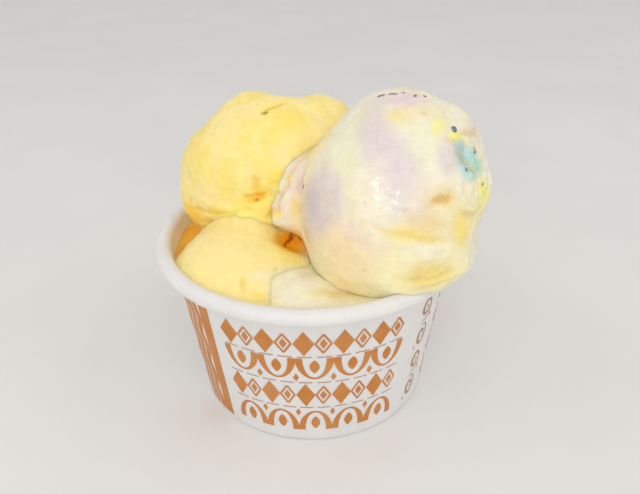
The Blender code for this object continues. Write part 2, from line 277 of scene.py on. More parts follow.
def skirt_rise(skirt, d):
    """A low wavy ridge round a part of the scoop, in each direction."""
    up, reach, height, first, last = skirt
    around = np.degrees(np.arctan2(d[:, 1], d[:, 0]))
    along = ((around - (first + last) / 2.0 + 180.0) % 360.0 - 180.0) / ((last - first) / 2.0)
    sway = 3.0 * np.sin(np.radians(5.0 * around))
    above = (np.degrees(np.arcsin(np.clip(d[:, 2], -1.0, 1.0))) - up - sway) / reach
    return height * MM * np.maximum(1.0 - along**2, 0.0) * np.exp(-(above**2))


def scoop_shape(scoop, d):
    """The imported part's scoop: how far its surface lies from its centre in each direction."""
    radius = 1.0 / np.sqrt(((d / np.array(scoop["radii"])) ** 2).sum(1))
    for around, up, reach, height in scoop["lobes"]:
        radius += height * MM * mound(d, around, up, reach)
    radius += skirt_rise(scoop["skirt"], d)
    place = (scoop["centre"] + d * radius[:, None]) / scoop["crag_size"]
    return radius + scoop["crag"] * fractal(place)


def scoop_surface(scoop, d):
    """The fine surface's distance from the centre in each direction, and its painted shade in grooves and
    pits.
    """
    radius = scoop_shape(scoop, d)
    rng = random.Random(scoop["seed"])
    place = scoop["centre"] + d * radius[:, None]
    bent = d
    for share, size in WANDERS:
        bent = bent + share * wander(place / size)
    bent = directions(bent)
    relief = np.zeros(len(d))
    # Painted shade: how much of the darker groove colour each point takes, from its depth in grooves, pits and
    # torn crags
    hollow = np.zeros(len(d))
    for stops, width, depth in scoop["grooves"]:
        angle, along = from_line(bent, stops)
        share = np.exp(-((angle / width) ** 2)) * (1.0 - (2.0 * along - 1.0) ** 6 * 0.6)
        relief -= depth * MM * share
        hollow = np.maximum(hollow, share * min(depth * MM / FULL_SHADE_DEPTH, 1.0))
    for _ in range(scoop["pits"]):
        around, up = rng.uniform(-180.0, 180.0), rng.uniform(-25.0, 80.0)
        reach, depth = rng.uniform(0.6, 1.6), rng.uniform(0.1, 0.32) * MM
        share = mound(bent, around, up, reach)
        relief -= depth * share
        hollow = np.maximum(hollow, 0.5 * share)
    rough = np.zeros(len(d))
    for around, up, reach, height in scoop["rough"]:
        rough = np.maximum(rough, height * MM * mound(d, around, up, reach))
    torn = fractal(place / TORN_SIZE, 4) - 0.6 * np.abs(fractal(place / TORN_CUT_SIZE, 2))
    relief += rough * np.clip(torn, *TORN_RANGE)
    hollow = np.maximum(hollow, np.clip(-torn - 0.7, 0.0, 1.0) * rough / (0.6 * MM))
    relief += scoop["smear"] * fractal(place / np.array(STRETCHED_SIZE), 3)
    relief += scoop["grain"] * fractal(place / GRAIN_SIZE, 2)
    return radius + relief, np.clip(hollow, 0.0, 1.0)


def scoop_grid(scoop):
    """The directions, surface distances and faces of a finely cut cube blown up to the scoop."""
    bm = bmesh.new()
    bmesh.ops.create_cube(bm, size=2.0)
    bmesh.ops.subdivide_edges(bm, edges=bm.edges, cuts=scoop["cuts"], use_grid_fill=True)
    cube = np.array([v.co for v in bm.verts])
    faces = [[v.index for v in f.verts] for f in bm.faces]
    bm.free()
    d = directions(np.tan(cube * pi / 4.0))
    return d, scoop_surface(scoop, d)[0], faces


def in_scene(name, data):
    made = bpy.data.objects.new(name, data)
    bpy.context.scene.collection.objects.link(made)
    return made


def aimed(name, data, where, facing):
    """A new object in the scene at a place, turned by a quaternion."""
    made = in_scene(name, data)
    made.location = where
    made.rotation_mode = "QUATERNION"
    made.rotation_quaternion = facing
    return made


def mesh_object(name, points, faces):
    mesh = bpy.data.meshes.new(name)
    mesh.from_pydata([tuple(p) for p in points], [], faces)
    mesh.update()
    return in_scene(name, mesh)


def bmesh_object(name, bm):
    """A new object in the scene with the bmesh's form."""
    mesh = bpy.data.meshes.new(name)
    bm.to_mesh(mesh)
    bm.free()
    return in_scene(name, mesh)


def scoop_object(name, scoop, grid, grow=0.0):
    d, radius, faces = grid
    centre = scoop["centre"] + AXIS
    return mesh_object(name, centre + d * (radius + grow)[:, None], faces)


def spread(first, last, steps):
    """Values from first to last in equal steps."""
    return [first + (last - first) * i / steps for i in range(steps + 1)]


def arc(centre, radius, first, last, steps):
    angles = map(radians, spread(first, last, steps))
    return [(centre[0] + radius * cos(a), centre[1] + radius * sin(a)) for a in angles]


def wall_radius(z):
    """Radius of the middle of the wall's paper at height z."""
    return FOOT_RADIUS - PAPER / 2 + z * tan(LEAN)


def seam_lift(angle):
    """How far the wall's outside stands out at an angle: one paper edge lies over the other at the seam."""
    from_seam = (angle - SEAM_AT + 180.0) % 360.0 - 180.0
    return SEAM_STEP if 0.0 <= from_seam <= SEAM_WIDE else 0.0


def wall_path():
    """Middle of the wall's paper in section: lip, wall, foot and hem."""
    lean = degrees(LEAN)
    roll = arc(LIP_CENTRE, LIP_RADIUS - PAPER / 2, LIP_END, 180.0 - lean, 30)
    corner = HEM_GAP + PAPER - FOOT_FLAT / 2
    hem_z = corner + PAPER / 2
    hem_r = wall_radius(hem_z) - corner / cos(LEAN)
    fold = arc((hem_r, hem_z), corner, -lean, -90.0, 6)
    fold += arc((hem_r - FOOT_FLAT, hem_z), corner, -90.0, -180.0 - lean, 6)
    top, foot = np.array(roll[-1]), np.array(fold[0])
    wall = [tuple(top + (foot - top) * i / 12) for i in range(1, 12)]
    rise = HEM_HEIGHT - fold[-1][1]
    edge = (fold[-1][0] + rise * tan(LEAN), HEM_HEIGHT)
    return roll + wall + fold + [edge]


def disc_path():
    """Middle of the bottom disc's paper in section, from near the axis out to the foot of its skirt."""
    inset = (PAPER + HEM_GAP) / cos(LEAN)
    bend_r = wall_radius(DISC_LEVEL - DISC_BEND) - inset - DISC_BEND
    flat = [(bend_r * i / 8, DISC_LEVEL) for i in range(1, 8)]
    bend = arc((bend_r, DISC_LEVEL - DISC_BEND), DISC_BEND, 90.0, -degrees(LEAN), 8)
    edge = (wall_radius(SKIRT_END) - inset, SKIRT_END)
    return flat + bend + [edge]


def paper_sides(path):
    """The two sides of the paper in section, right and left of the path along its middle."""
    middle = np.array(path)
    along = directions(np.gradient(middle, axis=0))
    across = np.stack((along[:, 1], -along[:, 0]), 1) * PAPER / 2
    return middle + across, middle - across


def turned_solid(name, path, lifts=None):
    """A closed solid round the cup's axis, from a path that starts and ends on the axis or a closed ring of
    points. At the wall's seam each point stands out by its lift times the step there."""
    points, rows, faces = [], [], []
    for r, z, lift in zip(*np.transpose(path), np.zeros(len(path)) if lifts is None else lifts):
        row = [len(points) + i for i in range(ROUND_STEPS if r > 0.0 else 1)]
        rows.append(row)
        for i in range(len(row)):
            angle = tau * i / ROUND_STEPS
            out = r + lift * seam_lift(degrees(angle))
            points.append((AXIS_X + out * cos(angle), out * sin(angle), z))
    if path[0][0] > 0.0:
        rows.append(rows[0])
    for low, high in zip(rows, rows[1:]):
        for i in range(ROUND_STEPS):
            j = (i + 1) % ROUND_STEPS
            corners = [low[i % len(low)], low[j % len(low)], high[j % len(high)], high[i % len(high)]]
            faces.append(list(dict.fromkeys(corners)))
    made = mesh_object(name, points, faces)
    outward_faces(made)
    return made


def wall_object(name):
    """The lip, wall, foot and hem as one closed sheet of paper, thicker where it overlaps itself."""
    inner, outer = paper_sides(wall_path())
    lifts = np.concatenate((np.zeros(len(inner)), (outer - inner)[::-1, 0] / PAPER))
    return turned_solid(name, np.concatenate((inner, outer[::-1])), lifts)


def disc_object(name):
    """The bottom disc and its skirt as one closed body with a whole middle."""
    under, top = paper_sides(disc_path())
    first, last = (0.0, DISC_LEVEL + PAPER / 2), (0.0, DISC_LEVEL - PAPER / 2)
    return turned_solid(name, [first, *top, *under[::-1], last])


def smoothed(made, sharp):
    """Smooth shading but for edges sharper than this angle in degrees."""
    made.data.shade_smooth()
    made.data.set_sharp_from_angle(angle=radians(sharp))


def outward_faces(made):
    """Turns all faces of a closed mesh outwards."""
    bm = bmesh.new()
    bm.from_mesh(made.data)
    bmesh.ops.recalc_face_normals(bm, faces=bm.faces)
    bm.to_mesh(made.data)
    bm.free()


def edge_level(angle):
    """Height of the lower gelato at the wall, eased between the stated angles."""
    stated = [(at, level * MM) for at, level in EDGE_LEVELS]
    stated.append((stated[0][0] + 360.0, stated[0][1]))
    angle = (angle - stated[0][0]) % 360.0 + stated[0][0]
    for (first, low), (second, high) in zip(stated, stated[1:]):
        if first <= angle <= second:
            share = (angle - first) / (second - first)
            return low + (high - low) * (1.0 - cos(pi * share)) / 2.0
    return stated[0][1]


def smooth_max(a, b):
    return max(a, b) + max(BLEND - abs(a - b), 0.0) ** 2 / (4.0 * BLEND)


def field_height(x, y):
    """Height of the lower gelato's surface over a point of the cup."""
    out = min(hypot(x, y) / wall_radius(CUP_HEIGHT), 1.0)
    angle = degrees(atan2(y, x))
    edge = edge_level(angle) + WALL_UNEVEN * noise.noise(Vector((cos(angle / 9), angle / 14, 3.0)))
    height = edge + (LOW_LEVEL - edge) * (1.0 - out**EDGE_STEEPNESS)
    for dome in DOMES:
        dome_x, dome_y, dome_z, radius = (size * MM for size in dome)
        above = radius**2 - (x - dome_x) ** 2 - (y - dome_y) ** 2
        if above > 0.0:
            height = smooth_max(height, dome_z + sqrt(above))
    for pit in PITS:
        pit_x, pit_y, reach, depth = (size * MM for size in pit)
        height -= depth * exp(-((x - pit_x) ** 2 + (y - pit_y) ** 2) / reach**2)
    flat = Vector((x, y, 0.0))
    height += FIELD_CRAG * noise.fractal(flat / FIELD_CRAG_SIZE, 0.9, 2.0, 3) * (1.0 - out**2)
    stretched = Vector((x, y * SMEAR_STRETCH, 3.0 * MM))
    height += FIELD_SMEAR * noise.fractal(stretched / SMEAR_SIZE, 0.9, 2.0, 3)
    return height + FIELD_GRAIN * noise.fractal(flat / GRAIN_SIZE, 0.9, 2.0, 2)


def raised_to_scoop(points, scoop):
    """The points, raised near the scoop, so that the surface curves up to it and leaves no sharp notch."""
    away = points - scoop["centre"]
    distance = np.linalg.norm(away, axis=1)
    gap = distance - scoop_shape(scoop, away / distance[:, None])
    share = np.clip(1.0 - np.maximum(gap, 0.0) / FILLET_REACH, 0.0, 1.0)
    pit_x, pit_y, reach, _ = (size * MM for size in PITS[0])
    from_pit = np.hypot(points[:, 0] - pit_x, points[:, 1] - pit_y)
    share *= 1.0 - np.exp(-((from_pit / (FILLET_CLEAR * reach)) ** 2))
    points[:, 2] += FILLET_RISE * share**2
    return points


def boundary(y):
    """Where the yellow turns to cream at y, as a distance towards +X."""
    first, last = BOUNDARY_TURN
    turned_in = min(max((y - first) / (last - first), 0.0), 1.0)
    x = BOUNDARY_FRONT + (BOUNDARY_MIDDLE - BOUNDARY_FRONT) * turned_in**2 * (3.0 - 2.0 * turned_in)
    beyond = max((y - last) / (FIELD_REACH - last), 0.0)
    strays, size = BOUNDARY_RAGGED
    ragged = strays * noise.noise(Vector((y / size, 0.0, 0.0)))
    return x + (BOUNDARY_BACK - BOUNDARY_MIDDLE) * beyond + ragged


def field_object(name, side):
    """A block under the lower gelato's surface, from the boundary out towards +X or -X, as side says."""
    bm = bmesh.new()
    bmesh.ops.create_grid(bm, x_segments=FIELD_COLUMNS, y_segments=FIELD_ROWS, size=1.0)
    points = []
    for v in bm.verts:
        y = v.co.y * FIELD_REACH
        inner = boundary(y) + side * FLAVOUR_GAP / 2.0
        x = inner + (side * FIELD_REACH - inner) * (1.0 + side * v.co.x) / 2.0
        points.append((x, y, field_height(x, y)))
    for v, place in zip(bm.verts, raised_to_scoop(np.array(points), YELLOW_SCOOP)):
        v.co = Vector(place) + Vector(AXIS)
    below = bmesh.ops.extrude_face_region(bm, geom=list(bm.faces))
    for v in (g for g in below["geom"] if isinstance(g, bmesh.types.BMVert)):
        v.co.z = 0.0
    bmesh.ops.recalc_face_normals(bm, faces=bm.faces)
    return bmesh_object(name, bm)


def inner_space():
    """The room inside the cup and above it."""
    clear = WALL_HALF + TOUCH
    floor = DISC_LEVEL + PAPER / 2 + TOUCH
    above = 2.0 * CUP_HEIGHT
    rim = wall_radius(CUP_HEIGHT) - clear
    path = [(0.0, above), (rim, above), (rim, CUP_HEIGHT), (wall_radius(floor) - clear, floor), (0.0, floor)]
    return turned_solid("inside_of_cup", path)


def cup_collar():
    """The wall and lip, a touch wider all round, with everything outside them below the lip."""
    clear = WALL_HALF + TOUCH
    far, below = RIM_RADIUS + COLLAR_PAST, -COLLAR_BELOW
    over_lip = arc(LIP_CENTRE, LIP_RADIUS + TOUCH, 180.0 - degrees(LEAN), -20.0, 30)
    inner_foot = (wall_radius(below) - clear, below)
    return turned_solid("cup_collar", [*over_lip, (far, over_lip[-1][1]), (far, below), inner_foot])


def carve(target, steps):
    """Cuts the target by each tool in turn, and keeps its largest body."""
    for operation, tool in steps:
        step = target.modifiers.new(tool.name, "BOOLEAN")
        step.operation = operation
        step.object = tool
        step.solver = "MANIFOLD"
    bpy.context.view_layer.update()
    deps = bpy.context.evaluated_depsgraph_get()
    mesh = bpy.data.meshes.new_from_object(target.evaluated_get(deps))
    target.modifiers.clear()
    target.data = mesh
    keep_largest(target)


def keep_largest(made):
    """Keeps the largest of a mesh's separate bodies."""
    bm = bmesh.new()
    bm.from_mesh(made.data)
    left, bodies = set(bm.verts), []
    while left:
        front = [left.pop()]
        body = list(front)
        while front:
            v = front.pop()
            near = {edge.other_vert(v) for edge in v.link_edges} & left
            left -= near
            front += near
            body += near
        bodies.append(body)
    bodies.sort(key=len)
    bmesh.ops.delete(bm, geom=sum(bodies[:-1], []), context="VERTS")
    bm.to_mesh(made.data)
    bm.free()


def keep_shares(made, name, shares):
    """Keeps a share for each point of the mesh, for a shader to read by name."""
    made.data.attributes.new(name, "FLOAT", "POINT").data.foreach_set("value", np.array(shares, np.float32))


def note_hollow_shade(made, scoop):
    """Keeps how much painted shade each point takes, from how deep it lies in a groove or pit."""
    points = np.array([v.co for v in made.data.vertices]) - AXIS
    keep_shares(made, "hollow", scoop_surface(scoop, directions(points - scoop["centre"]))[1])


def note_meeting(made):
    """Keeps how much of the other flavour's colour each point has, half and half where the two meet."""
    shares = []
    for v in made.data.vertices:
        apart = abs(v.co.x - AXIS_X - boundary(v.co.y))
        shares.append(0.5 * exp(-((apart / MEETING_WIDTH) ** 2)))
    keep_shares(made, "meeting", shares)


def feed(tree, node, **inputs):
    """Sets or links a node's inputs, each by its name, or by i and its number. A text is a colour's name."""
    for name, value in inputs.items():
        socket = node.inputs[int(name[1:]) if name[1:].isdigit() else name.replace("_", " ")]
        if isinstance(value, str):
            value = linear(*COLOURS[value])
        if isinstance(value, bpy.types.NodeSocket):
            tree.links.new(value, socket)
        else:
            socket.default_value = value


def add(tree, kind, settings=None, out=0, **inputs):
    """An output of a new shader node with these settings and inputs."""
    made = tree.nodes.new("ShaderNode" + kind)
    for name, value in (settings or {}).items():
        setattr(made, name, value)
    feed(tree, made, **inputs)
    return made.outputs[out]


def figured(tree, kind, operation, first, second):
    """The result of a Math or VectorMath node."""
    return add(tree, kind, {"operation": operation}, i0=first, i1=second)


def times(tree, first, second):
    return figured(tree, "Math", "MULTIPLY", first, second)


def mixed(tree, share, first, second):
    """first turning into second as share goes from 0 to 1."""
    return add(tree, "Mix", {"data_type": "RGBA"}, 2, i0=share, i6=first, i7=second)


def eased(tree, value, low=0.3, high=0.7, to_low=0.0, to_high=1.0):
    """A value that goes smoothly from to_low to to_high as the given one goes from low to high."""
    limits = {"From_Min": low, "From_Max": high, "To_Min": to_low, "To_Max": to_high}
    return add(tree, "MapRange", {"interpolation_type": "SMOOTHSTEP"}, Value=value, **limits)


def cloud(tree, size, detail=3.0, stretch=(1.0, 1.0, 1.0), out="Fac"):
    """Soft noise with marks of about this size in mm, from 0 to 1."""
    scale = tuple(s / (size * MM) for s in stretch)
    place = figured(tree, "VectorMath", "MULTIPLY", add(tree, "TexCoord", out="Object"), scale)
    return add(tree, "TexNoise", out=out, Vector=place, Scale=1.0, Detail=detail, Roughness=0.55)


def warped(tree, size, amount):
    """The place on the piece, moved about by noise. Sizes are in mm."""
    centred = figured(tree, "VectorMath", "SUBTRACT", cloud(tree, size, out="Color"), (0.5,) * 3)
    moved = figured(tree, "VectorMath", "MULTIPLY", centred, (amount * MM,) * 3)
    return figured(tree, "VectorMath", "ADD", add(tree, "TexCoord", out="Object"), moved)


def patch(tree, place, x, y, z, wide, high, deep, soft=0.7, turn=0.0):
    """1 in an egg-shaped place that lies as the photo shows it, easing to 0 outside. Sizes are in mm."""
    facing = Matrix((ACROSS, AWAY, UPWARD)).transposed().to_4x4() @ Matrix.Rotation(radians(turn), 4, "Y")
    form = {
        "Location": (x * MM, y * MM, z * MM),
        "Rotation": tuple(facing.to_euler()),
        "Scale": (wide * MM, deep * MM, high * MM),
    }
    within = add(tree, "Mapping", {"vector_type": "TEXTURE"}, Vector=place, **form)
    out = add(tree, "VectorMath", {"operation": "LENGTH"}, "Value", i0=within)
    return eased(tree, out, 1.0 + soft, max(1.0 - soft, 0.0))


def bumped(tree, *heights):
    """The surface's direction after bumps from some heights, each with its distance."""
    before = {}
    for height, distance in heights:
        before["Normal"] = add(tree, "Bump", Height=height, Distance=distance, Strength=1.0, **before)
    return before["Normal"]


def new_material(name):
    made = bpy.data.materials.new(name)
    made.use_nodes = True
    return made, made.node_tree, made.node_tree.nodes["Principled BSDF"]


def gelato(name, base, second, groove, other, rough, coat, texture, patches):
    """Soft frozen gelato. The base and second colours drift into each other, patches of other colours lie
    on them, some of them painted shade and painted light, and grooves take the groove's colour as painted
    shade. Where the other flavour meets it, its colour comes in."""
    made, tree, shader = new_material(name)
    drift = eased(tree, cloud(tree, 9.0), 0.38, 0.62)
    colour = mixed(tree, drift, base, second)
    near = warped(tree, 4.0, 2.2)
    for hue, strength, *form in patches:
        colour = mixed(tree, times(tree, patch(tree, near, *form), strength), colour, hue)
    if groove:
        # Painted shade: grooves, pits and torn crags take the groove colour, as far as their depth says
        hollow = add(tree, "Attribute", {"attribute_name": "hollow"}, "Fac")
        colour = mixed(tree, times(tree, hollow, 0.6), colour, groove)
    if other:
        meeting = add(tree, "Attribute", {"attribute_name": "meeting"}, "Fac")
        colour = mixed(tree, meeting, colour, other)
    fine = eased(tree, cloud(tree, 0.7, 5.0), 0.2, 0.8, 0.97, 1.02)
    broad = eased(tree, cloud(tree, 2.6, 4.0), to_low=0.97, to_high=1.03)
    grain = cloud(tree, 0.35)
    smear = cloud(tree, 1.0, 4.0, (0.4, 0.4, 1.0))
    feed(
        tree,
        shader,
        Base_Color=add(tree, "HueSaturation", Color=colour, Value=times(tree, fine, broad)),
        Roughness=eased(tree, cloud(tree, 3.0, 4.0), to_low=rough - 0.1, to_high=rough + 0.12),
        Subsurface_Weight=0.45,
        Subsurface_Radius=(1.0, 0.85, 0.5),
        Subsurface_Scale=2.5 * MM,
        Coat_Weight=coat,
        Coat_Roughness=0.12,
        Specular_IOR_Level=0.35,
        Normal=bumped(tree, (grain, 0.05 * MM * texture), (smear, 0.16 * MM * texture)),
    )
    return made


def paper_material():
    """White coated paper: faint fibres, faint mottling and a slightly dry sheen."""
    made, tree, shader = new_material("paper")
    mottle = cloud(tree, 6.0)
    colour = mixed(tree, eased(tree, mottle), linear(235, 232, 229), linear(230, 228, 226))
    fibre = cloud(tree, 0.5, 5.0, (1.0, 1.0, 0.35))
    light = eased(tree, fibre, 0.25, 0.75, 0.985, 1.01)
    feed(
        tree,
        shader,
        Base_Color=add(tree, "HueSaturation", Color=colour, Value=light),
        Roughness=eased(tree, mottle, 0.2, 0.8, 0.36, 0.5),
        Specular_IOR_Level=0.4,
        Subsurface_Weight=0.5,
        Subsurface_Radius=(1.0, 0.96, 0.92),
        Subsurface_Scale=1.6 * MM,
        Normal=bumped(tree, (fibre, 0.02 * MM), (mottle, 0.05 * MM)),
    )
    return made


def ink_material(name, colour):
    """Printed ink, a little uneven, with the paper's fibres showing through."""
    made, tree, shader = new_material(name)
    thin = cloud(tree, 0.6, 4.0)
    paler = tuple(c * 0.85 + 0.15 * p for c, p in zip(colour, linear(226, 190, 150)))
    ink = mixed(tree, eased(tree, cloud(tree, 7.0)), colour, paler)
    ink = mixed(tree, eased(tree, thin, 0.55, 0.8, 0.0, 0.25), ink, linear(222, 176, 128))
    rough = eased(tree, thin, to_low=0.4, to_high=0.55)
    feed(tree, shader, Base_Color=ink, Roughness=rough, Normal=bumped(tree, (thin, 0.02 * MM)))
    return made


def sprinkle_material(name, colour):
    made, tree, shader = new_material(name)
    worn = cloud(tree, 0.5)
    pale = tuple(0.6 * c + 0.4 * p for c, p in zip(colour, linear(226, 222, 214)))
    colour = mixed(tree, eased(tree, worn, 0.45), colour, pale)
    normal = bumped(tree, (worn, 0.04 * MM))
    feed(tree, shader, Base_Color=colour, Roughness=0.3, Coat_Weight=0.5, Normal=normal)
    return made


def on_wall(u, v, lift):
    """A point on the wall's outside: u along the paper from the front, to the right, and v up."""
    angle = radians(-90.0) + u / INK_SPAN
    radius = wall_radius(v) + WALL_HALF + seam_lift(degrees(angle)) + lift
    return (AXIS_X + radius * cos(angle), radius * sin(angle), v)


def ribbon(ink, path, widths):
    """Adds to the lists in ink a strip of print along the path, of these widths, as a thin closed body."""
    points, faces = ink
    p = np.array(path)
    along = np.gradient(p, axis=0)
    along /= np.maximum(np.linalg.norm(along, axis=1), 1e-9)[:, None]
    across = np.stack((-along[:, 1], along[:, 0]), 1)
    steps = max(1, ceil(max(widths) / (0.8 * MM)))
    shares = [i / steps - 0.5 for i in range(steps + 1)]
    start = len(points)
    for lift in (INK_RISE, -INK_ROOT):
        for i in range(len(p)):
            for share in shares:
                u, v = p[i] + across[i] * widths[i] * share
                points.append(on_wall(u, v, lift))
    row, layer = steps + 1, (steps + 1) * len(p)
    for i in range(len(p) - 1):
        for j in range(steps):
            a = start + i * row + j
            b = a + row
            faces.append((a, a + 1, b + 1, b))
            faces.append((a + layer, b + layer, b + 1 + layer, a + 1 + layer))
        for a in (start + i * row, start + i * row + steps):
            b = a + row
            faces.append((a, b, b + layer, a + layer))
    for end in (start, start + (len(p) - 1) * row):
        for a in range(end, end + steps):
            faces.append((a, a + 1, a + 1 + layer, a + layer))


def shape(ink, first, last, profile, steps):
    """A filled figure from first to last, as wide as profile says along it."""
    a, b = np.array(first), np.array(last)
    shares = spread(0.0, 1.0, steps)
    ribbon(ink, [a + (b - a) * t for t in shares], [max(profile(t), 0.02 * MM) for t in shares])


def loop(ink, centre, wide, high, thick, thin, first, last):
    """A part of a ring, thick at its sides and thin at its top and bottom."""
    path, widths = [], []
    for a in map(radians, spread(first, last, 40)):
        path.append((centre[0] + wide * cos(a), centre[1] + high * sin(a)))
        widths.append(thin + (thick - thin) * cos(a) ** 2)
    ribbon(ink, path, widths)


def lozenge(ink, x, low, high, half):
    shape(ink, (x, low), (x, high), lambda t: 2.0 * half * (1.0 - abs(2.0 * t - 1.0)), 20)


def lozenge_line(ink, x, low, high, half, line):
    middle = (low + high) / 2
    corners = [(x, low), (x + half, middle), (x, high), (x - half, middle), (x, low)]
    for first, last in zip(corners, corners[1:]):
        shape(ink, first, last, lambda t: line, 6)


def leaf(ink, first, last, width):
    shape(ink, first, last, lambda t: width * sin(pi * t) ** 0.8, 18)


def lozenge_row(ink, left, right, low, high):
    """Solid lozenges in turn with thin-lined ones that each hold a small lozenge."""
    cells = 5
    cell = (right - left) / cells
    for i in range(cells):
        x = left + cell * i
        lozenge(ink, x + 0.24 * cell, low, high, 0.27 * cell)
        x += 0.73 * cell
        inset = 0.12 * (high - low)
        lozenge_line(ink, x, low + inset, high - inset, 0.2 * cell, 0.55 * MM)
        middle = (low + high) / 2
        lozenge(ink, x, middle - 1.7 * MM, middle + 1.7 * MM, 0.95 * MM)


def scallop_row(ink, left, right, low, high, hanging):
    """Scallops, thick on their shoulders, with a leaf in each and a small lozenge between."""
    cells = 5
    cell = (right - left) / cells
    base, tip = (high, low) if hanging else (low, high)
    sign = -1.0 if hanging else 1.0
    rise = (high - low) * 0.86
    for i in range(cells):
        x = left + cell * (i + 0.5)
        first, last = (180.0, 360.0) if hanging else (0.0, 180.0)
        loop(ink, (x, base), 0.41 * cell, rise, 1.9 * MM, 0.6 * MM, first, last)
        leaf(ink, (x, base + sign * 0.6 * MM), (x, base + sign * rise * 0.74), 2.5 * MM)
        if i:
            lozenge(ink, left + cell * i, *sorted((tip, tip - sign * 2.9 * MM)), 0.75 * MM)


def dashes(ink, left, right, level):
    cells = 10
    cell = (right - left) / cells
    for i in range(cells):
        x = left + cell * i
        shape(ink, (x + 0.12 * cell, level), (x + 0.88 * cell, level), lambda t: 0.3 * MM, 6)


def band(ink, right, low, high):
    """An upright band of ink with pale wavy lines through it. It runs to the left from right."""
    steps = 60
    wave = [sin(tau * 4.0 * i / steps) for i in range(steps + 1)]
    levels = spread(low, high, steps)
    stripes = ((1.9, 3.8, 0.0), (5.6, 2.2, 0.55), (8.5, 2.2, 0.55), (11.4, 2.2, 0.55), (13.9, 0.5, 0.0))
    for middle, width, sway in stripes:
        path = [(right - middle * MM + sway * MM * w, v) for w, v in zip(wave, levels)]
        ribbon(ink, path, [width * MM] * (steps + 1))


def curl(ink, x, y, size, flip):
    """A thin scroll that winds in on itself."""
    path, widths = [], []
    for t in spread(0.0, 1.0, 44):
        a = radians(-110.0 + 560.0 * t) * flip
        reach = size * (1.0 - 0.82 * t)
        path.append((x + 0.62 * reach * cos(a), y + reach * sin(a)))
        widths.append(0.35 * MM + 0.7 * MM * sin(pi * t) ** 2)
    ribbon(ink, path, widths)


def print_repeat(fields, lines, turn):
    """One repeat of the print, moved round the cup by turn, in degrees."""

    def at(angle):
        return radians(angle + 90.0 + turn) * INK_SPAN

    left, right = at(-127.0), at(-51.0)
    rows = list(zip(ROW_LEVELS, ROW_LEVELS[1:]))
    margin = 0.45 * MM
    for number, (high, low) in enumerate(rows):
        if number % 2 == 0:
            lozenge_row(fields, left, right, low + margin, high - margin)
        else:
            scallop_row(fields, left, right, low + margin, high - margin, number == 1)
    for level in ROW_LEVELS[1:-1]:
        dashes(lines, left, right, level)
    band(fields, at(-133.5), 1.6 * MM, 42.6 * MM)
    for column in range(3):
        x = at(-37.0 + 17.0 * column)
        for number, (high, low) in enumerate(rows):
            flip = -1 if (number + column) % 2 else 1
            curl(lines, x, (low + high) / 2, 4.1 * MM, flip)
            lozenge(lines, x + 2.6 * MM * flip, low + 0.4 * MM, low + 2.0 * MM, 0.4 * MM)


def sprinkle_object(name, colour, scoop):
    """All sprinkles of one colour, each a drawn-out ball sunk into the scoop past its middle."""
    bm = bmesh.new()
    for around, up, length, width, turn, hue in SPRINKLES:
        if hue != colour:
            continue
        length, width = length * MM, width * MM
        d = unit(around, up)
        radius = scoop_surface(scoop, d[None, :])[0][0]
        toward = Vector(d)
        where = Vector(scoop["centre"]) + Vector(AXIS) + toward * (radius - SPRINKLE_SUNK * width)
        facing = toward.to_track_quat("Z", "Y").to_matrix().to_4x4() @ Matrix.Rotation(radians(turn), 4, "Z")
        size = Matrix.Diagonal((length / 2.0, width / 2.0, width / 2.0, 1.0))
        matrix = Matrix.Translation(where) @ facing @ size
        for v in bmesh.ops.create_icosphere(bm, subdivisions=4, radius=1.0)["verts"]:
            v.co = matrix @ (v.co * (1.0 + 0.07 * noise.noise(v.co * 2.0 + where / MM)))
    made = bmesh_object(name, bm)
    made.data.shade_smooth()
    return made


def finished(made, finish, slot_name, *nodes):
    """Gives a piece its material, sets it on the body and hides the imported nodes that it stands for."""
    made.data.materials.clear()
    made.data.materials.append(finish)
    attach(made, "root")
    if nodes:
        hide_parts(*nodes)
